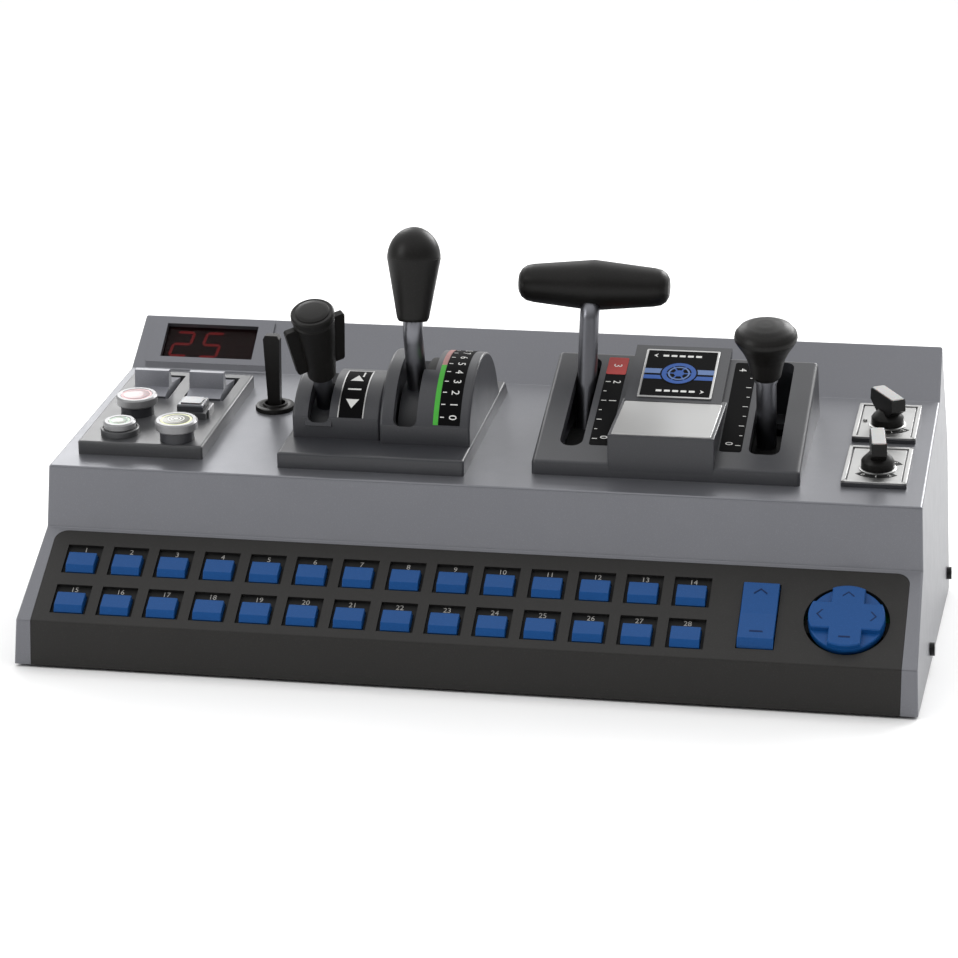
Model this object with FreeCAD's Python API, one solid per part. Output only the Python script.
"""Train simulator desk controller, built as separate pieces.

Row frame: X to the operator's right, Y away from the operator, Z up, millimetres.
The origin is the centre of the object's footprint, on the surface the rubber feet stand on.

Most pieces sit on one of three sloping faces of the case, so they are drawn in that
face's own frame: x across the face, y up the slope and z out of the face. `put` then
moves them to KEYPAD, DECK or BACK, the placements of those faces.
"""
import FreeCAD
import Part
import math
import os

Vector = FreeCAD.Vector

# ---------------------------------------------------------------- driving dimensions
CASE_WIDTH = 445.0          # across the foot of the case
CASE_DEPTH = 256.5          # front face to rear wall
SIDE_DRAFT = 0.046          # each side wall leans in this much per mm of height
CASE_EDGE = 1.2             # rounding of the case's outer edges
WALL = 3.0                  # moulded wall of the case
STAND_WALL = 2.5            # moulded wall of the lever stands
FOOT_PROUD = 1.5            # rubber feet below the lower edge of the case

# Side profile of the case: distance back from the front face, height above its lower edge
PROFILE = [
    (0.0, 0.0),             # lower front edge
    (0.5, 22.5),            # top of the front face, start of the keypad slope
    (48.0, 59.0),           # top of the keypad slope
    (48.0, 90.5),           # top of the riser, front edge of the deck
    (192.0, 114.0),         # rear edge of the deck
    (219.0, 139.0),         # top edge
    (256.5, 80.0),          # rear slope meets the rear wall
    (256.5, 0.0),           # lower rear edge
]

BEZEL_HALF = 214.0          # half width of the black keypad panel
BEZEL_TOP = 57.8            # its upper edge, up the keypad slope
BEZEL_THICK = 3.5
BEZEL_CORNER = 6.5

KEY_COLUMNS = 14
KEY_PITCH = 23.57
KEY_FIRST_X = -203.6        # left side of the first blue bar
KEY_ROW_Y = (34.8, 9.4)     # upper front edge of the bars in the rear and front rows
KEY_WIDTH = 14.4
KEY_DEPTH = 8.0
KEY_PROUD = 2.0
WELL_WIDTH = 18.2
WELL_LENGTH = 18.0
WELL_DEPTH = 1.8

ZOOM_X = (134.4, 152.8)     # well of the two-way zoom rocker
ZOOM_Y = (7.3, 47.1)
ZOOM_AXIS = (27.2, -6.0)
DPAD_CENTRE = (185.8, 27.4)
DPAD_RADIUS = 18.4
DPAD_HOLE = 20.6
DPAD_AXIS_Z = -8.0
DPAD_EDGE = 0.8
KEY_EDGE = 0.4

SWITCH_PANEL = (-208.0, -143.0, 17.0, 124.0)
SWITCH_PANEL_HIGH = 7.0
SWITCH_PANEL_EDGE = 1.2
RED_BUTTON = (-188.7, 60.2)
GREEN_BUTTON = (-189.5, 30.9)
YELLOW_BUTTON = (-158.3, 26.5)
SQUARE_BUTTON = (-166.4, -153.0, 56.7, 68.7)
ROCKER_LEFT_X = -189.8
ROCKER_RIGHT_X = -160.3
ROCKER_WIDTH = 18.4
ROCKER_Y = (84.0, 114.0)
ROCKER_AXIS = (99.0, 0.0)

WHISTLE = (-124.4, 94.3)
WHISTLE_AXIS_Z = -5.0

LEVER_RADIUS = 5.0
PIN_RADIUS = 3.0
FIT = 0.05                  # radial clearance of every turning fit
HUB_RADIUS = 8.0
HUB_HALF = 6.7
CHEEK_INNER = 7.0           # bracket cheek, from the lever's centre line
CHEEK_THICK = 2.0

REVERSER_X = -86.6
REVERSER_PIVOT = (61.5, 0.0)
REVERSER_LEAN = 21.5        # degrees forward of the deck's normal
REVERSER_ARC = 33.5
FIN_TURN = 35.0             # the grip's fins stand this far round from straight across
REVERSER_SLOT_X = (-92.0, -80.9)
REVERSER_SLOT = (59.5, -42.5)       # front and rear ends, degrees forward of the deck's normal
THROTTLE_X = -41.2
THROTTLE_PIVOT = (69.0, 0.0)
THROTTLE_LEAN = 12.5
THROTTLE_BEND = 25.0        # the upper shaft leans back by this much more
THROTTLE_ARC = 42.5
THROTTLE_SLOT_X = (-47.4, -35.5)
THROTTLE_SLOT = (65.5, -50.0)
GATE_X = (-35.6, -29.6)     # the slot's sideways step
GATE_SLOT = (20.5, -50.0)
SLOT_WALL = 1.2             # wall round each lever slot, below the top
SLOT_DEPTH = 6.0            # how far down that wall reaches
SLOT_CORNER = 3.5
STAND_EDGE = 1.4            # rounding of the quadrant stand's edges
AUTO_X = 41.6
AUTO_LEAN = -16.7
IND_X = 136.1
IND_LEAN = 7.8
BRAKE_PIVOT = (71.6, -35.0)
BAIL_AXIS = 18.0            # height of the bail-off pin above the brake pivot

BRAKE_X = (24.4, 157.5)
BRAKE_FRONT = (19.5, 7.0)   # front edge of the sloping top: deck position, height
BRAKE_REAR = (109.0, 33.0)
BRAKE_FOOT = (19.0, 122.0)
BRAKE_EDGE = 2.2
BLOCK_EDGE = 0.8
AUTO_SLOT = (36.2, 47.7, 13.6, 88.5)        # x, then up the sloping top
AUTO_SLOT_CORNER = 5.4
IND_SLOT = (130.4, 145.8, 13.4, 91.0)
IND_SLOT_CORNER = 4.5

KNOB_X = 193.4
LIGHTS_KNOB_Y = 42.5
WIPER_KNOB_Y = 103.8
LIGHTS_TURN = 7.0           # degrees anticlockwise from straight back
WIPER_TURN = 31.6
GRIP_REACH = 12.0           # half length of a knob's bar grip
PLATE_X = (177.0, 209.0)
LIGHTS_PLATE_Y = (22.0, 71.5)
WIPER_PLATE_Y = (83.5, 132.5)

DISPLAY_FRAME = (-210.2, -143.0, 4.3, 33.2)
DISPLAY_WINDOW = (-202.5, -151.7, 7.8, 30.2)

SIDE_SCREWS = ((91.0, 9.0), (238.0, 12.0))    # distance back, height
USB_X = 60.0
USB_Z = 20.0


# ---------------------------------------------------------------- frames
def row_point(x, back, up):
    """A point given across, back from the front face and up from the case's lower edge."""
    return Vector(x, back - CASE_DEPTH / 2, up + FOOT_PROUD)


def face_frame(start, end):
    """Placement of the face between two profile points, with its origin on the lower one."""
    angle = math.degrees(math.atan2(end[1] - start[1], end[0] - start[0]))
    turn = FreeCAD.Rotation(Vector(1, 0, 0), angle)
    return FreeCAD.Placement(row_point(0, *start), turn)


CASE = FreeCAD.Placement(row_point(0, 0, 0), FreeCAD.Rotation())
KEYPAD = face_frame(PROFILE[1], PROFILE[2])
DECK = face_frame(PROFILE[3], PROFILE[4])
BACK = face_frame(PROFILE[4], PROFILE[5])


def put(shape, placement):
    """The shape moved out of a face's frame, with the move baked into its geometry."""
    return shape.transformed(placement.toMatrix(), True)


def lever_frame(x, pivot, lean):
    """Frame of a lever: z along the lever from its pivot, y back, x across."""
    turn = FreeCAD.Rotation(Vector(1, 0, 0), lean)
    local = FreeCAD.Placement(Vector(x, pivot[0], pivot[1]), turn)
    return DECK.multiply(local)


# ---------------------------------------------------------------- basic solids
def box(x0, x1, y0, y1, z0, z1):
    return Part.makeBox(x1 - x0, y1 - y0, z1 - z0, Vector(x0, y0, z0))


def rod(radius, start, end):
    start = Vector(*start)
    end = Vector(*end)
    return Part.makeCylinder(radius, (end - start).Length, start, end - start)


def side_prism(points, x0, x1):
    """Solid with the given y, z outline, running across from x0 to x1."""
    corners = [Vector(x0, y, z) for y, z in points]
    face = Part.Face(Part.makePolygon(corners + corners[:1]))
    return face.extrude(Vector(x1 - x0, 0, 0))


def front_prism(points, y0, y1):
    """Solid with the given x, z outline, running back from y0 to y1."""
    corners = [Vector(x, y0, z) for x, z in points]
    face = Part.Face(Part.makePolygon(corners + corners[:1]))
    return face.extrude(Vector(0, y1 - y0, 0))


def turned(outline):
    """Solid of revolution about z from (radius, height) points, joined by straight lines."""
    corners = [Vector(r, 0, z) for r, z in outline if r > 0]
    corners.append(Vector(0, 0, outline[-1][1]))
    corners.append(Vector(0, 0, outline[0][1]))
    face = Part.Face(Part.makePolygon(corners + corners[:1]))
    return face.revolve(Vector(0, 0, 0), Vector(0, 0, 1), 360)


def rounded(shape, radius, chosen):
    """Fillets every edge that `chosen` accepts."""
    edges = [edge for edge in shape.Edges if chosen(edge)]
    return shape.makeFillet(radius, edges)


def along(edge, axis):
    """True for a straight edge that runs along one axis: 0 is x, 1 is y, 2 is z."""
    if len(edge.Vertexes) != 2:
        return False
    step = edge.Vertexes[1].Point - edge.Vertexes[0].Point
    return abs(abs(step[axis]) - step.Length) < 1e-6


def off_floor(edge):
    """True for every edge that doesn't lie in the lowest plane of its own frame."""
    return max(vertex.Point.z for vertex in edge.Vertexes) > 0.01


def above(height):
    """Picks the edges that lie wholly above a height."""
    return lambda edge: min(vertex.Point.z for vertex in edge.Vertexes) > height


def fuse(*shapes):
    whole = shapes[0]
    for shape in shapes[1:]:
        whole = whole.fuse(shape)
    return whole.removeSplitter()


def bent_rod(radius, points, bend_radius):
    """Round bar along straight runs joined by tangent arcs."""
    path = []
    start = Vector(*points[0])
    for before, corner, after in zip(points, points[1:], points[2:]):
        corner = Vector(*corner)
        back = (Vector(*before) - corner).normalize()
        on = (Vector(*after) - corner).normalize()
        half = back.getAngle(on) / 2
        reach = bend_radius / math.tan(half)
        middle = (back + on).normalize()
        centre = corner + middle * (bend_radius / math.sin(half))
        first = corner + back * reach
        last = corner + on * reach
        path.append(Part.LineSegment(start, first).toShape())
        path.append(Part.Arc(first, centre - middle * bend_radius, last).toShape())
        start = last
    path.append(Part.LineSegment(start, Vector(*points[-1])).toShape())
    wire = Part.Wire(path)
    tip = Vector(*points[0])
    heading = Vector(*points[1]) - tip
    section = Part.Wire([Part.Circle(tip, heading, radius).toShape()])
    return wire.makePipeShell([section], True, True)


# ---------------------------------------------------------------- case
def side_limits(inset):
    """Everything between the two leaning side walls, pulled in by `inset`."""
    low = CASE_WIDTH / 2 - inset + SIDE_DRAFT * 20
    high = CASE_WIDTH / 2 - inset - SIDE_DRAFT * 160
    outline = [(-low, -20), (low, -20), (high, 160), (-high, 160)]
    return front_prism(outline, -10, CASE_DEPTH + 10)


def inset_profile(distances):
    """The side profile with each face moved inwards by its own distance."""
    count = len(PROFILE)
    lines = []
    for index in range(count):
        y0, z0 = PROFILE[index]
        y1, z1 = PROFILE[(index + 1) % count]
        length = math.hypot(y1 - y0, z1 - z0)
        normal = ((z1 - z0) / length, -(y1 - y0) / length)
        gap = distances[index]
        lines.append(((y0 + normal[0] * gap, z0 + normal[1] * gap), (y1 - y0, z1 - z0)))
    corners = []
    for index in range(count):
        (ay, az), (ady, adz) = lines[index - 1]
        (by, bz), (bdy, bdz) = lines[index]
        cross = ady * bdz - adz * bdy
        reach = ((by - ay) * bdz - (bz - az) * bdy) / cross
        corners.append((ay + ady * reach, az + adz * reach))
    return corners


def keypad_cutter(slack):
    """Space in front of the keypad panel's outline, in the keypad frame."""
    half = BEZEL_HALF - slack
    block = box(-half, half, -60, BEZEL_TOP - slack, -60, 30)

    def top_corner(edge):
        return along(edge, 2) and edge.Vertexes[0].Point.y > 0

    return rounded(block, BEZEL_CORNER, top_corner)


def front_block(slack):
    """The part of the case that the keypad panel takes: the slope and the front face."""
    keep = put(keypad_cutter(slack), CASE.inverse().multiply(KEYPAD))
    half = BEZEL_HALF - slack
    return keep.common(box(-half, half, -5, 47.9, -5, 62))


def case_block():
    """The whole outside of the case as one solid with rounded edges."""
    block = side_prism(PROFILE, -230, 230).common(side_limits(0))
    return rounded(block, CASE_EDGE, off_floor)


def housing_shell():
    outer = case_block()
    inner_outline = inset_profile([WALL] * 7 + [-30])
    inner = side_prism(inner_outline, -230, 230).common(side_limits(WALL))
    shell = outer.cut(inner).cut(front_block(0))
    shell = put(shell, CASE)
    boss = box(*DISPLAY_FRAME, -1, 1.2)
    window = box(*DISPLAY_WINDOW, -10, 10)
    x0, x1, y0, y1 = DISPLAY_WINDOW
    rebate = box(x0 - 1.5, x1 + 1.5, y0 - 1.5, y1 + 1.5, -10, -1.8)
    shell = shell.fuse(put(boss, BACK)).cut(put(window.fuse(rebate), BACK))
    openings = [
        box(-98, -13, 40, 108, -10, 10),
        box(34, 148, 28, 104, -10, 10),
        box(-203.6, -146.4, 22, 119, -10, 10),
        rod(9.0, (*YELLOW_BUTTON, -10), (*YELLOW_BUTTON, 10)),
        rod(6.0, (WHISTLE[0], WHISTLE[1], -10), (WHISTLE[0], WHISTLE[1], 10)),
        rod(5.0, (KNOB_X, LIGHTS_KNOB_Y, -10), (KNOB_X, LIGHTS_KNOB_Y, 10)),
        rod(5.0, (KNOB_X, WIPER_KNOB_Y, -10), (KNOB_X, WIPER_KNOB_Y, 10)),
    ]
    for opening in openings:
        shell = shell.cut(put(opening, DECK))
    socket = box(USB_X - 6.5, USB_X + 6.5, 250, 260, USB_Z - 6.0, USB_Z + 6.0)
    shell = shell.cut(put(socket, CASE))
    for back, up in SIDE_SCREWS:
        for side in (-1, 1):
            shell = shell.cut(screw_solid(side, back, up, 2.0, 0.0, 12.0, -4.0))
    return shell.removeSplitter()


def screw_solid(side, back, up, shank, head, depth, proud):
    """A stepped rod square to one leaning side wall: the shank runs in, the head stands out."""
    surface = side * (CASE_WIDTH / 2 - SIDE_DRAFT * up)
    inward = Vector(-side, 0, -SIDE_DRAFT).normalize()
    seat = row_point(surface, back, up)
    shape = Part.makeCylinder(shank, depth + 4, seat - inward * 4, inward)
    if head > 0:
        shape = Part.makeCylinder(shank, depth, seat, inward)
        cap = Part.makeCylinder(head, proud, seat, inward * -1)
        shape = shape.fuse(cap).removeSplitter()
    return shape


def side_screws():
    solids = []
    for back, up in SIDE_SCREWS:
        for side in (-1, 1):
            solids.append(screw_solid(side, back, up, 1.7, 3.4, 7.0, 2.4))
    return Part.makeCompound(solids)


def rubber_feet():
    solids = []
    for x in (-190, 190):
        for back in (26, 230):
            foot = turned([(5.4, 0), (6.0, 0.6), (6.0, FOOT_PROUD + 0.2)])
            foot.translate(Vector(x, back - CASE_DEPTH / 2, 0))
            solids.append(foot)
    return Part.makeCompound(solids)


def cheek(x0, x1, pivot_row, foot_half):
    """One upright of a lever bracket: wide at the base plate, round over the pin."""
    y, z = pivot_row.y, pivot_row.z
    low = FOOT_PROUD + 1.7
    half = [(foot_half, low), (9, z - 20), (9, z)]
    outline = [(y + out, up) for out, up in half] + [(y - out, up) for out, up in reversed(half)]
    upright = side_prism(outline, x0, x1)
    return upright.fuse(rod(9, (x0, y, z), (x1, y, z)))


def lever_bracket(x, pivot, half):
    """Two cheeks and the pin between them, welded to the base plate."""
    centre = DECK.multVec(Vector(x, pivot[0], pivot[1]))
    left = cheek(x - half - CHEEK_THICK, x - half, centre, 22)
    right = cheek(x + half, x + half + CHEEK_THICK, centre, 22)
    reach = half + CHEEK_THICK
    pin = rod(PIN_RADIUS, (x - reach, centre.y, centre.z), (x + reach, centre.y, centre.z))
    return left.fuse(right).fuse(pin)


def base_chassis():
    """Folded steel base: floor, turned-up sides that take the case screws, lever brackets."""
    half = 217.6
    floor = box(-half, half, 4.2, 252.3, 0.2, 1.7)
    sides = [box(-half, -half + 1.5, 60, 250, 0.2, 18), box(half - 1.5, half, 60, 250, 0.2, 18)]
    chassis = put(fuse(floor, *sides), CASE)
    brackets = [
        lever_bracket(REVERSER_X, REVERSER_PIVOT, CHEEK_INNER),
        lever_bracket(THROTTLE_X, THROTTLE_PIVOT, CHEEK_INNER),
        lever_bracket(AUTO_X, BRAKE_PIVOT, CHEEK_INNER),
        lever_bracket(IND_X, BRAKE_PIVOT, CHEEK_INNER),
    ]
    chassis = fuse(chassis, *brackets)
    for back, up in SIDE_SCREWS:
        for side in (-1, 1):
            chassis = chassis.cut(screw_solid(side, back, up, 1.75, 0.0, 12.0, 0.0))
    return chassis


# ---------------------------------------------------------------- keypad
def keypad_bezel():
    """Black moulding that makes the keypad slope and the whole front face in one piece."""
    outer = case_block().common(front_block(0.15))
    inner_outline = inset_profile([3.0, BEZEL_THICK, WALL, WALL, WALL, WALL, WALL, -30])
    inner = side_prism(inner_outline, -230, 230)
    bezel = put(outer.cut(inner), CASE)
    cutters = []
    for column in range(KEY_COLUMNS):
        for row_y in KEY_ROW_Y:
            x, y = key_corner(column, row_y)
            well_x = x - (WELL_WIDTH - KEY_WIDTH) / 2
            well_y = y - 4.0
            cutters.append(box(well_x, well_x + WELL_WIDTH, well_y, well_y + WELL_LENGTH, -WELL_DEPTH, 5))
            cutters.append(box(x - 0.3, x + KEY_WIDTH + 0.3, y - 3.6, y + KEY_DEPTH + 0.5, -8, 0))
    cutters.append(box(ZOOM_X[0], ZOOM_X[1], ZOOM_Y[0], ZOOM_Y[1], -8, 5))
    cutters.append(rod(DPAD_HOLE, (*DPAD_CENTRE, -8), (*DPAD_CENTRE, 5)))
    bezel = bezel.cut(put(Part.makeCompound(cutters), KEYPAD))
    ears = [put(ear, KEYPAD) for ear in zoom_ears() + dpad_ears()]
    return fuse(bezel, *ears)


def key_corner(column, row_y):
    """Left end of a blue bar's upper front edge, in the keypad frame."""
    return KEY_FIRST_X + column * KEY_PITCH, row_y


def eared_plate(x0, x1, y, z, half):
    """Hinge ear under the keypad panel, bored along x for a trunnion."""
    plate = box(x0, x1, y - half, y + half, z - half, -BEZEL_THICK + 0.2)
    return plate.cut(rod(1.5 + FIT, (x0 - 1, y, z), (x1 + 1, y, z)))


def zoom_ears():
    y, z = ZOOM_AXIS
    left = eared_plate(ZOOM_X[0] - 2.4, ZOOM_X[0] - 0.1, y, z, 3.2)
    right = eared_plate(ZOOM_X[1] + 0.1, ZOOM_X[1] + 2.4, y, z, 3.2)
    return [left, right]


def dpad_ears():
    x, y = DPAD_CENTRE
    left = eared_plate(x - 24.0, x - 21.5, y, DPAD_AXIS_Z, 3.2)
    right = eared_plate(x + 21.5, x + 24.0, y, DPAD_AXIS_Z, 3.2)
    return [left, right]


def key(column, row_y):
    """Blue bar with a raked front face, on a stem and a flange that stops it under the panel."""
    x, y = key_corner(column, row_y)
    top = KEY_PROUD
    back = y + KEY_DEPTH
    outline = [(y - 3.3, -6), (y - 3.1, -0.3), (y, top), (back, top - 0.3), (back + 0.2, -6)]
    bar = side_prism(outline, x, x + KEY_WIDTH)
    flange = box(x - 1.2, x + KEY_WIDTH + 1.2, y - 4.6, y + KEY_DEPTH + 1.6, -5.0, -3.7)
    stem = box(x + 3, x + KEY_WIDTH - 3, y - 0.5, y + KEY_DEPTH - 2.5, -10.5, -5.0)
    return put(fuse(bar, flange, stem), KEYPAD)


def zoom_rocker():
    """Two-way rocker on trunnions, its top standing a little proud at both ends."""
    x0, x1 = ZOOM_X[0] + 0.5, ZOOM_X[1] - 0.5
    y0, y1 = ZOOM_Y[0] + 1.1, ZOOM_Y[1] - 1.1
    y, z = ZOOM_AXIS
    front = [(y0 + 1.0, -8.5), (y0, -1.0), (y0 + 3.6, 2.6)]
    rear = [(y1 - 0.6, 3.0), (y1, 1.6), (y1 - 1.0, -8.5)]
    outline = front + [(y, 2.2)] + rear
    body = rounded(side_prism(outline, x0, x1), KEY_EDGE, above(1.5))
    left = rod(1.5, (ZOOM_X[0] - 2.2, y, z), (x0 + 0.5, y, z))
    right = rod(1.5, (x1 - 0.5, y, z), (ZOOM_X[1] + 2.2, y, z))
    return put(fuse(body, left, right), KEYPAD)


def dpad_pivot():
    """Cross-shaped gimbal under the four-way pad."""
    x, y = DPAD_CENTRE
    z = DPAD_AXIS_Z
    bar = box(x - 20.6, x + 20.6, y - 4.4, y + 4.4, z - 2.2, z + 2.2)
    across = rod(1.5, (x - 23.8, y, z), (x + 23.8, y, z))
    fore_aft = rod(1.5, (x, y - 8.6, z), (x, y + 8.6, z))
    return put(fuse(bar, across, fore_aft), KEYPAD)


def dpad():
    """Round blue pad with a raised cross, on two legs that hang on the gimbal."""
    x, y = DPAD_CENTRE
    z = DPAD_AXIS_Z
    disc = rounded(rod(DPAD_RADIUS, (x, y, -2.5), (x, y, 1.6)), DPAD_EDGE, above(1.5))
    arm = 7.9
    reach = DPAD_RADIUS + 2
    upright = box(x - arm, x + arm, y - reach, y + reach, 0, 4.4)
    level = box(x - reach, x + reach, y - arm, y + arm, 0, 4.4)
    cross = fuse(upright, level).common(rod(DPAD_RADIUS - 0.1, (x, y, -1), (x, y, 6)))
    cross = rounded(cross.removeSplitter(), DPAD_EDGE, above(4.3))
    legs = []
    for near, far in ((-8.4, -5.0), (5.0, 8.4)):
        leg = box(x - 3.0, x + 3.0, y + near, y + far, z - 3.0, -2.0)
        legs.append(leg)
    pad = fuse(disc, cross, *legs)
    bore = rod(1.5 + FIT, (x, y - 12, z), (x, y + 12, z))
    return put(pad.cut(bore), KEYPAD)


# ---------------------------------------------------------------- switch panel, on the left
def switch_panel():
    x0, x1, y0, y1 = SWITCH_PANEL
    high = SWITCH_PANEL_HIGH
    plate = rounded(box(x0, x1, y0, y1, 0, high), SWITCH_PANEL_EDGE, off_floor)
    hollow = box(x0 + 3, x1 - 3, y0 + 3, y1 - 3, -1, high - 3)
    panel = plate.cut(hollow)
    x, y = GREEN_BUTTON
    collar = rod(9.8, (x, y, high - 1), (x, y, high + 3.0))
    sx0, sx1, sy0, sy1 = SQUARE_BUTTON
    frame = box(sx0 - 2.2, sx1 + 2.2, sy0 - 2.2, sy1 + 2.2, high - 1, high + 3.4)
    panel = fuse(panel, collar, frame)
    holes = [
        rod(8.55, (*RED_BUTTON, -10), (*RED_BUTTON, 30)),
        rod(8.55, (*GREEN_BUTTON, -10), (*GREEN_BUTTON, 30)),
        rod(8.8, (*YELLOW_BUTTON, -10), (*YELLOW_BUTTON, 30)),
        box(sx0 - 0.3, sx1 + 0.3, sy0 - 0.3, sy1 + 0.3, -10, 30),
        rocker_space(ROCKER_LEFT_X),
        rocker_space(ROCKER_RIGHT_X),
    ]
    for hole in holes:
        panel = panel.cut(hole)
    ears = rocker_ears(ROCKER_LEFT_X) + rocker_ears(ROCKER_RIGHT_X)
    return put(fuse(panel, *ears), DECK)


def rocker_space(x):
    half = ROCKER_WIDTH / 2 + 1.9
    return box(x - half, x + half, ROCKER_Y[0] - 1.4, ROCKER_Y[1] + 4.0, 3, 30)


def rocker_ears(x):
    """Two bored ears under the panel, either side of a rocker."""
    y, z = ROCKER_AXIS
    near = ROCKER_WIDTH / 2 + 2.0
    ears = []
    for x0, x1 in ((x - near - 2.0, x - near), (x + near, x + near + 2.0)):
        ear = box(x0, x1, y - 4, y + 4, z - 3.2, SWITCH_PANEL_HIGH - 2.0)
        ears.append(ear.cut(rod(1.5 + FIT, (x0 - 1, y, z), (x1 + 1, y, z))))
    return ears


def rocker(x):
    """Rocker with an upright paddle across it, on trunnions below the panel."""
    y0, y1 = ROCKER_Y
    half = ROCKER_WIDTH / 2
    y, z = ROCKER_AXIS
    outline = [(y0, 7.6), (y0 + 7.6, 10.2), (y0 + 9.0, 18.6), (y0 + 12.0, 18.6), (y0 + 13.6, 10.4),
               (y1, 7.4), (y1 - 5, -2.5), (y0 + 5, -2.5)]
    body = side_prism(outline, x - half, x + half)
    pin = rod(1.5, (x - half - 3.8, y, z), (x + half + 3.8, y, z))
    return put(fuse(body, pin), DECK)


def round_button(centre, cap_radius, stem_radius, top, cap_high):
    """Mushroom push button: a rimmed cap on a stem that slides through the panel."""
    x, y = centre
    edge = 0.8
    cap = [(stem_radius, -4.0), (stem_radius, top - cap_high), (cap_radius - edge, top - cap_high),
           (cap_radius, top - cap_high + edge), (cap_radius, top - edge), (cap_radius - edge, top),
           (cap_radius - 2.4, top), (cap_radius - 2.8, top - 0.5)]
    shape = turned(cap)
    shape.translate(Vector(x, y, 0))
    return put(shape, DECK)


def square_button():
    x0, x1, y0, y1 = SQUARE_BUTTON
    body = rounded(box(x0, x1, y0, y1, -4, 14), 0.6, above(13.5))
    lid = box(x0 + 1.6, x1 - 1.6, y0 + 1.6, y1 - 1.6, 13.5, 14.4)
    return put(fuse(body, lid), DECK)


# ---------------------------------------------------------------- whistle lever
def whistle_ring():
    """Collar on the deck with a tube below that carries the whistle lever's trunnion."""
    x, y = WHISTLE
    flange = turned([(10.2, 0), (10.2, 1.8), (9.2, 3.0), (5.6, 3.0)])
    flange.translate(Vector(x, y, 0))
    tube = rod(5.8, (x, y, -10), (x, y, 1))
    bore = rod(4.9, (x, y, -12), (x, y, 1.0))
    mouth = rod(5.4, (x, y, 1.0), (x, y, 5))
    ring = fuse(flange, tube).cut(bore).cut(mouth)
    return ring.cut(rod(1.2 + FIT, (x - 8, y, WHISTLE_AXIS_Z), (x + 8, y, WHISTLE_AXIS_Z)))


def whistle_lever():
    """Flat black paddle that widens upwards, pivoted inside the collar's tube."""
    x, y = WHISTLE
    z = WHISTLE_AXIS_Z
    half = [(3.1, z - 2.4), (3.2, 4.0), (4.35, 38.6), (3.2, 40.6)]
    outline = half + [(-across, up) for across, up in reversed(half)]
    blade = front_prism([(x + across, up) for across, up in outline], y - 2.2, y + 2.2)
    pin = rod(1.2, (x - 5.7, y, z), (x + 5.7, y, z))
    return put(fuse(blade, pin), DECK)


# ---------------------------------------------------------------- reverser and throttle
def arc_block(x0, x1, pivot, radius, front_y, rear_angle, rear_foot, base_z):
    """Quadrant block: upright front face, arc over the top about the pivot, straight rear."""
    y, z = pivot
    rise = math.sqrt(radius ** 2 - (y - front_y) ** 2)
    start = Vector(x0, front_y, rise)
    top = Vector(x0, y, z + radius)
    turn = math.radians(rear_angle)
    last = Vector(x0, y + radius * math.sin(turn), z + radius * math.cos(turn))
    corners = [Vector(x0, rear_foot, base_z), Vector(x0, front_y, base_z)]
    edges = [
        Part.LineSegment(corners[1], start).toShape(),
        Part.Arc(start, top, last).toShape(),
        Part.LineSegment(last, corners[0]).toShape(),
        Part.LineSegment(corners[0], corners[1]).toShape(),
    ]
    return Part.Face(Part.Wire(edges)).extrude(Vector(x1 - x0, 0, 0))


def slot_sector(x0, x1, pivot, from_angle, to_angle, corner=0.0):
    """Wedge that cuts a lever slot: angles are forward of the deck normal, in degrees."""
    y, z = pivot
    reach = 90.0
    points = [(y, z)]
    steps = 4
    for index in range(steps + 1):
        angle = math.radians(from_angle + (to_angle - from_angle) * index / steps)
        points.append((y - reach * math.sin(angle), z + reach * math.cos(angle)))
    sector = side_prism(points, x0, x1)
    if corner == 0.0:
        return sector
    heading = Vector(0, -math.sin(math.radians(from_angle)), math.cos(math.radians(from_angle)))

    def front_corner(edge):
        step = edge.Vertexes[1].Point - edge.Vertexes[0].Point
        return abs(abs(step.dot(heading)) - step.Length) < 1e-6

    return rounded(sector, corner, front_corner)


def slot_wall(x0, x1, pivot, radius, from_angle, to_angle):
    """Solid round a lever slot that reaches down from the top; the slot is cut through it."""
    wide = slot_sector(x0 - SLOT_WALL, x1 + SLOT_WALL, pivot, from_angle + 3, to_angle - 3)
    across = (x0 - 5, x1 + 5)
    y, z = pivot
    outer = rod(radius - 1.0, (across[0], y, z), (across[1], y, z))
    inner = rod(radius - SLOT_DEPTH, (across[0], y, z), (across[1], y, z))
    return wide.common(outer.cut(inner))


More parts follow.
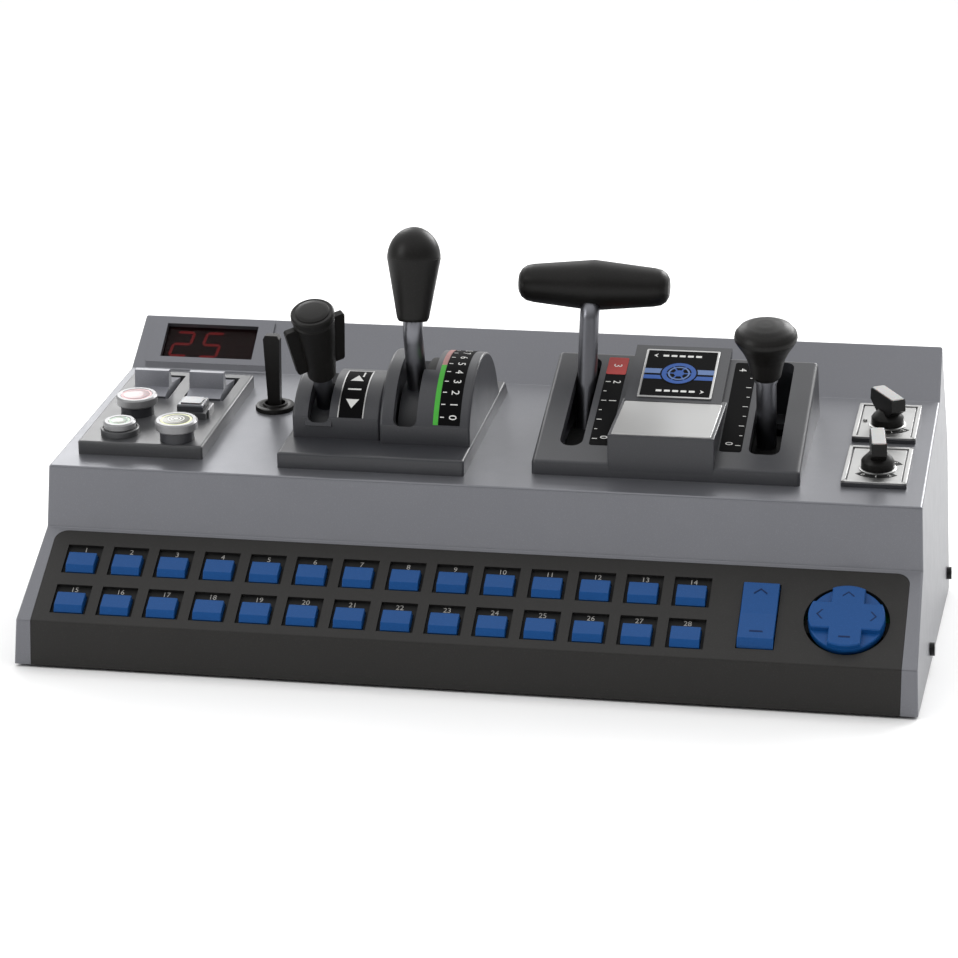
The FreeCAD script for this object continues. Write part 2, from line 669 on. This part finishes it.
def throttle_housing():
    """Dark moulding with a stepped plinth and two quadrant blocks, hollow from below."""
    plinth = side_prism([(11.0, 0), (11.6, 8.0), (127.6, 8.0), (134.7, 0)], -103.0, -8.0)
    reverser = arc_block(-100.0, -55.0, REVERSER_PIVOT, REVERSER_ARC, 34.0, 50, 98.0, 0)
    throttle = arc_block(-54.4, -8.5, THROTTLE_PIVOT, THROTTLE_ARC, 30.5, 48, 118.0, 0)
    plinth = rounded(plinth, STAND_EDGE, off_floor)
    reverser = rounded(reverser, STAND_EDGE, off_floor)
    throttle = rounded(throttle, STAND_EDGE, off_floor)
    joint_strip = arc_block(-58.0, -51.0, REVERSER_PIVOT, REVERSER_ARC - 2.0, 36.0, 50, 96.0, 0)
    housing = fuse(plinth, reverser, throttle, joint_strip)
    hollows = [
        side_prism([(14.5, -1), (14.5, 5.5), (124.0, 5.5), (130.0, -1)], -100.5, -10.5),
        arc_block(-97.5, -57.5, REVERSER_PIVOT, REVERSER_ARC - 2.5, 36.5, 50, 93.0, -1),
        arc_block(-52.0, -10.5, THROTTLE_PIVOT, THROTTLE_ARC - 2.5, 33.0, 48, 112.0, -1),
    ]
    for hollow in hollows:
        housing = housing.cut(hollow)
    walls = [
        slot_wall(*REVERSER_SLOT_X, REVERSER_PIVOT, REVERSER_ARC, *REVERSER_SLOT),
        slot_wall(*THROTTLE_SLOT_X, THROTTLE_PIVOT, THROTTLE_ARC, *THROTTLE_SLOT),
    ]
    housing = fuse(housing, *walls)
    slots = [
        slot_sector(*REVERSER_SLOT_X, REVERSER_PIVOT, *REVERSER_SLOT, SLOT_CORNER),
        slot_sector(*THROTTLE_SLOT_X, THROTTLE_PIVOT, *THROTTLE_SLOT, SLOT_CORNER),
        slot_sector(*GATE_X, THROTTLE_PIVOT, *GATE_SLOT),
    ]
    for slot in slots:
        housing = housing.cut(slot.common(box(-110, 0, 0, 140, 10.0, 80)))
    return put(housing.removeSplitter(), DECK)


def reverser_lever():
    frame = lever_frame(REVERSER_X, REVERSER_PIVOT, REVERSER_LEAN)
    hub = rod(HUB_RADIUS, (-HUB_HALF, 0, 0), (HUB_HALF, 0, 0))
    shaft = rod(LEVER_RADIUS, (0, 0, 0), (0, 0, 40.0))
    spigot = rod(4.0, (0, 0, 39), (0, 0, 58))
    lever = fuse(hub, shaft, spigot).cut(rod(PIN_RADIUS + FIT, (-10, 0, 0), (10, 0, 0)))
    return put(lever, frame)


def reverser_handle():
    """Tapered grip with a flat cap and two side fins set askew."""
    frame = lever_frame(REVERSER_X, REVERSER_PIVOT, REVERSER_LEAN)
    body = turned([(6.6, 40.2), (7.2, 41.2), (10.5, 75.6), (9.8, 76.4), (9.8, 77.2), (11.0, 78.0),
                   (11.0, 80.6), (10.3, 81.4)])
    fins = []
    for side in (-1, 1):
        outline = [(4, 46.6), (12.0, 46.6), (12.8, 47.6), (16.0, 73.8), (15.2, 74.8), (4, 74.8)]
        fin = front_prism([(side * across, up) for across, up in outline], -1.7, 1.7)
        fin.rotate(Vector(0, 0, 0), Vector(0, 0, 1), FIN_TURN)
        fins.append(fin)
    grip = fuse(body, *fins).cut(rod(4.0 + FIT, (0, 0, 39), (0, 0, 58.3)))
    return put(grip, frame)


def throttle_lever():
    """Bar that leans forward out of its slot, then bends back to carry the knob upright."""
    frame = lever_frame(THROTTLE_X, THROTTLE_PIVOT, THROTTLE_LEAN)
    bend = 60.0
    turn = math.radians(THROTTLE_BEND)
    reach = 5.6
    end = (0, reach * math.sin(turn), bend + reach * math.cos(turn))
    tip = (0, (reach + 18) * math.sin(turn), bend + (reach + 18) * math.cos(turn))
    bar = bent_rod(LEVER_RADIUS, [(0, 0, 0), (0, 0, bend), end], 20.0)
    spigot = rod(4.0, (0, end[1] - math.sin(turn), end[2] - math.cos(turn)), tip)
    hub = rod(HUB_RADIUS, (-HUB_HALF, 0, 0), (HUB_HALF, 0, 0))
    lever = fuse(hub, bar, spigot).cut(rod(PIN_RADIUS + FIT, (-10, 0, 0), (10, 0, 0)))
    return put(lever, frame)


def throttle_knob():
    """Pear-shaped knob: straight taper up to a parting line, then a dome."""
    frame = lever_frame(THROTTLE_X, THROTTLE_PIVOT, THROTTLE_LEAN)
    seat = FreeCAD.Placement(Vector(0, 0, 60.0), FreeCAD.Rotation(Vector(1, 0, 0), -THROTTLE_BEND))
    base = 5.8
    widest = 31.5
    high = 47.2
    outline = [(7.2, base), (8.1, base + 1.6), (13.5, base + widest)]
    for step in range(1, 12):
        angle = math.radians(90 * step / 12)
        outline.append((13.5 * math.cos(angle), base + widest + (high - widest) * math.sin(angle)))
    outline.append((0.0, base + high))
    knob = turned(outline).cut(rod(4.0 + FIT, (0, 0, 4), (0, 0, 24)))
    return put(knob, frame.multiply(seat))


# ---------------------------------------------------------------- brake stand
def brake_slope_frame():
    """Frame of the sloping top of the brake housing, inside the deck frame."""
    y0, z0 = BRAKE_FRONT
    y1, z1 = BRAKE_REAR
    angle = math.degrees(math.atan2(z1 - z0, y1 - y0))
    return FreeCAD.Placement(Vector(0, y0, z0), FreeCAD.Rotation(Vector(1, 0, 0), angle))


def slot_hole(limits, radius, grow, low, high):
    """Round-cornered upright block over a slot's outline, in the sloping top's frame."""
    x0, x1, y0, y1 = limits
    block = box(x0 - grow, x1 + grow, y0 - grow, y1 + grow, low, high)
    return rounded(block, radius + grow, lambda edge: along(edge, 2))


def brake_housing():
    """Wedge-shaped moulding with two lever slots, a badge plateau and a note-plate block."""
    x0, x1 = BRAKE_X
    wedge = [(BRAKE_FOOT[0], 0), BRAKE_FRONT, BRAKE_REAR, (BRAKE_FOOT[1], 0)]
    body = rounded(side_prism(wedge, x0, x1), BRAKE_EDGE, off_floor)
    block = side_prism([(19.2, 0), (19.6, 22.4), (80.0, 22.4), (80.0, 0)], 62.6, 115.4)
    overhang = [(50.5, 0), (50.5, 2.0), (98.6, 2.0), (98.6, -1.4), (93.0, -5), (88, -20)]
    slope = brake_slope_frame()
    plateau = put(side_prism(overhang, 64.0, 113.0), slope)
    housing = fuse(body, rounded(block, BLOCK_EDGE, off_floor), plateau)
    front = BRAKE_FOOT[0] + STAND_WALL
    hollow_wedge = [(front, -1), (22.0, 4.8), (107.6, 29.7), (118.4, -1)]
    hollow = side_prism(hollow_wedge, x0 + STAND_WALL, x1 - STAND_WALL)
    hollow_block = side_prism([(22.0, -1), (22.0, 19.9), (74.0, 19.9), (74.0, -1)], 65.1, 112.9)
    housing = housing.cut(hollow).cut(hollow_block)
    for limits, corner in ((AUTO_SLOT, AUTO_SLOT_CORNER), (IND_SLOT, IND_SLOT_CORNER)):
        wall = slot_hole(limits, corner, SLOT_WALL, -SLOT_DEPTH, -1.0)
        above_deck = box(x0 + 1, x1 - 1, 20, 120, 0.5, 60)
        wall = put(wall, slope).common(above_deck)
        hole = slot_hole(limits, corner, 0.0, -40.0, 12.0)
        housing = housing.fuse(wall).cut(put(hole, slope))
    return put(housing.removeSplitter(), DECK)


def auto_brake_lever():
    """Bar that leans back and bends further back into the cross handle."""
    frame = lever_frame(AUTO_X, BRAKE_PIVOT, AUTO_LEAN)
    bar = bent_rod(LEVER_RADIUS, [(0, 0, 0), (0, 0, 97.0), (0, 8.6, 105.6)], 9.0)
    hub = rod(HUB_RADIUS, (-HUB_HALF, 0, 0), (HUB_HALF, 0, 0))
    lever = fuse(hub, bar).cut(rod(PIN_RADIUS + FIT, (-10, 0, 0), (10, 0, 0)))
    return put(lever, frame)


def auto_brake_handle():
    """Cross handle: fattest in the middle, tapering to two rounded ends."""
    frame = lever_frame(AUTO_X, BRAKE_PIVOT, AUTO_LEAN)
    half = [(0.0, 13.0), (31.0, 9.9), (34.8, 9.1), (37.2, 7.4), (38.6, 5.0), (39.0, 2.4), (39.0, 0.0)]
    outline = [(-a, b) for a, b in reversed(half[1:])] + half
    corners = [Vector(a, b, 0) for a, b in outline]
    face = Part.Face(Part.makePolygon(corners + corners[:1]))
    grip = face.revolve(Vector(0, 0, 0), Vector(1, 0, 0), 360)
    grip.translate(Vector(0.8, 7.4, 110.6))
    socket = bent_rod(LEVER_RADIUS + FIT, [(0, 0, 60.0), (0, 0, 97.0), (0, 8.8, 105.8)], 9.0)
    return put(grip.cut(socket), frame)


def ind_brake_yoke():
    """Turns on the brake pin and carries the sideways bail-off pin in its fork."""
    frame = lever_frame(IND_X, BRAKE_PIVOT, IND_LEAN)
    hub = rod(HUB_RADIUS, (-HUB_HALF, 0, 0), (HUB_HALF, 0, 0))
    fork = [box(-6, 6, 6.2, 8.6, 0, 23), box(-6, 6, -8.6, -6.2, 0, 23)]
    pin = rod(2.0, (0, -8.6, BAIL_AXIS), (0, 8.6, BAIL_AXIS))
    yoke = fuse(hub, pin, *fork).cut(rod(PIN_RADIUS + FIT, (-10, 0, 0), (10, 0, 0)))
    return put(yoke, frame)


def ind_brake_lever():
    frame = lever_frame(IND_X, BRAKE_PIVOT, IND_LEAN)
    eye = box(-4.8, 4.8, -5.6, 5.6, 11.5, 26)
    shaft = rod(LEVER_RADIUS, (0, 0, 24), (0, 0, 76.0))
    spigot = rod(4.0, (0, 0, 75), (0, 0, 94))
    lever = fuse(eye, shaft, spigot).cut(rod(2.0 + FIT, (0, -8, BAIL_AXIS), (0, 8, BAIL_AXIS)))
    return put(lever, frame)


def ind_brake_knob():
    """Mushroom knob: slim neck that flares to a broad domed head."""
    frame = lever_frame(IND_X, BRAKE_PIVOT, IND_LEAN)
    base = 76.2
    outline = [(6.4, 0), (7.4, 1.2), (8.4, 6), (9.6, 11), (11.8, 15.5), (14.3, 19.4), (15.4, 21.4),
               (15.7, 22.6), (15.3, 24.6), (13.4, 27.0), (9.6, 28.9), (4.8, 29.8), (0.0, 30.0)]
    knob = turned([(r, base + z) for r, z in outline])
    return put(knob.cut(rod(4.0 + FIT, (0, 0, 70), (0, 0, 94.3))), frame)


# ---------------------------------------------------------------- trim, knobs, inside parts
def knob_plate(y_range, hole_y):
    """Bright plate with a raised rim round an inset face, bored for a knob's shaft."""
    x0, x1 = PLATE_X
    y0, y1 = y_range
    plate = box(x0, x1, y0, y1, 0, 3.0)
    inset = box(x0 + 2.6, x1 - 2.6, y0 + 2.6, y1 - 2.6, 2.2, 4)
    bore = rod(PIN_RADIUS + FIT, (KNOB_X, hole_y, -4), (KNOB_X, hole_y, 4))
    return plate.cut(inset).cut(bore)


def display_window():
    x0, x1, y0, y1 = DISPLAY_WINDOW
    return put(box(x0 - 1.3, x1 + 1.3, y0 - 1.3, y1 + 1.3, -3.8, -1.8), BACK)


def deck_trim():
    """Separate trim pieces: two knob plates, badge, note plate and the whistle collar."""
    slope = DECK.multiply(brake_slope_frame())
    badge = box(69.9, 107.5, 53.4, 94.4, 2.0, 2.8)
    note = box(64.4, 113.6, 20.6, 67.0, 22.4, 23.0)
    pieces = [
        put(knob_plate(LIGHTS_PLATE_Y, LIGHTS_KNOB_Y), DECK),
        put(knob_plate(WIPER_PLATE_Y, WIPER_KNOB_Y), DECK),
        put(badge, slope),
        put(note, DECK),
        put(whistle_ring(), DECK),
    ]
    return Part.makeCompound(pieces)


def pointer_knob(y, turn):
    """Knob with a round skirt and a bar grip whose underside rises outwards."""
    skirt = turned([(8.2, 2.6), (8.2, 6.6), (7.2, 8.0), (4.6, 10.6)])
    half = [(5.0, 8.6), (GRIP_REACH, 13.2), (GRIP_REACH - 0.5, 18.6), (GRIP_REACH - 1.3, 19.2)]
    bar = half + [(-y_end, up) for y_end, up in reversed(half)]
    grip = side_prism(bar, -3.8, 3.8)
    shaft = rod(PIN_RADIUS, (0, 0, -9), (0, 0, 4))
    knob = fuse(skirt, grip, shaft)
    knob.rotate(Vector(0, 0, 0), Vector(0, 0, 1), turn)
    knob.translate(Vector(KNOB_X, y, 0))
    return put(knob, DECK)


def circuit_boards():
    """Keypad board, main board with its socket, and the display module behind the window."""
    keypad = put(box(-206, 212, 3, 55, -14.4, -12.8), KEYPAD)
    main = put(box(10, 110, 200, 250, 10.6, 12.2), CASE)
    posts = [put(rod(2.2, (x, back, 1.7), (x, back, 10.6)), CASE) for x in (14, 106) for back in (204, 246)]
    shell = box(USB_X - 6.0, USB_X + 6.0, 236.0, 252.3, USB_Z - 5.5, USB_Z + 5.5)
    mouth = box(USB_X - 4.3, USB_X + 4.3, 243.0, 253.0, USB_Z - 4.0, USB_Z + 4.0)
    tongue = box(USB_X - 2.8, USB_X + 2.8, 242.0, 251.0, USB_Z - 1.6, USB_Z + 1.6)
    riser = box(USB_X - 6.0, USB_X + 6.0, 236.0, 248.0, 12.2, USB_Z - 5.5)
    socket = put(fuse(shell.cut(mouth), tongue, riser), CASE)
    x0, x1, y0, y1 = DISPLAY_WINDOW
    module = put(box(x0 + 1, x1 - 1, y0 + 1, y1 - 1, -12.0, -4.4), BACK)
    return Part.makeCompound([keypad, fuse(main, socket, *posts), module])


# ---------------------------------------------------------------- every node
def all_parts():
    parts = {
        "housing_shell": housing_shell(),
        "base_chassis": base_chassis(),
        "side_screws": side_screws(),
        "rubber_feet": rubber_feet(),
        "keypad_bezel": keypad_bezel(),
        "display_window": display_window(),
        "switch_panel": switch_panel(),
        "throttle_housing": throttle_housing(),
        "brake_housing": brake_housing(),
        "deck_trim": deck_trim(),
        "circuit_boards": circuit_boards(),
        "reverser_lever": reverser_lever(),
        "reverser_handle": reverser_handle(),
        "throttle_lever": throttle_lever(),
        "throttle_knob": throttle_knob(),
        "auto_brake_lever": auto_brake_lever(),
        "auto_brake_handle": auto_brake_handle(),
        "ind_brake_yoke": ind_brake_yoke(),
        "ind_brake_lever": ind_brake_lever(),
        "ind_brake_knob": ind_brake_knob(),
        "whistle_lever": whistle_lever(),
        "rocker_left": rocker(ROCKER_LEFT_X),
        "rocker_right": rocker(ROCKER_RIGHT_X),
        "red_button": round_button(RED_BUTTON, 10.7, 8.25, 17.4, 5.0),
        "green_button": round_button(GREEN_BUTTON, 8.25, 8.25, 14.0, 4.0),
        "yellow_button": round_button(YELLOW_BUTTON, 10.9, 8.5, 17.6, 5.0),
        "square_button": square_button(),
        "zoom_rocker": zoom_rocker(),
        "dpad_pivot": dpad_pivot(),
        "dpad": dpad(),
        "lights_knob": pointer_knob(LIGHTS_KNOB_Y, LIGHTS_TURN),
        "wiper_knob": pointer_knob(WIPER_KNOB_Y, WIPER_TURN),
    }
    for row, row_y in enumerate(KEY_ROW_Y, start=1):
        for column in range(KEY_COLUMNS):
            parts[f"key_r{row}_c{column + 1:02d}"] = key(column, row_y)
    return parts


def main():
    os.makedirs("parts", exist_ok=True)
    for name, shape in all_parts().items():
        solids = shape.Solids
        valid = all(solid.isValid() and solid.isClosed() for solid in solids)
        volume = sum(solid.Volume for solid in solids)
        print(f"{name:20s} solids {len(solids)}  valid {valid}  volume {volume / 1000:.2f} cm3")
        shape.exportStep(f"parts/{name}.step")


if __name__ == "__main__":
    main()
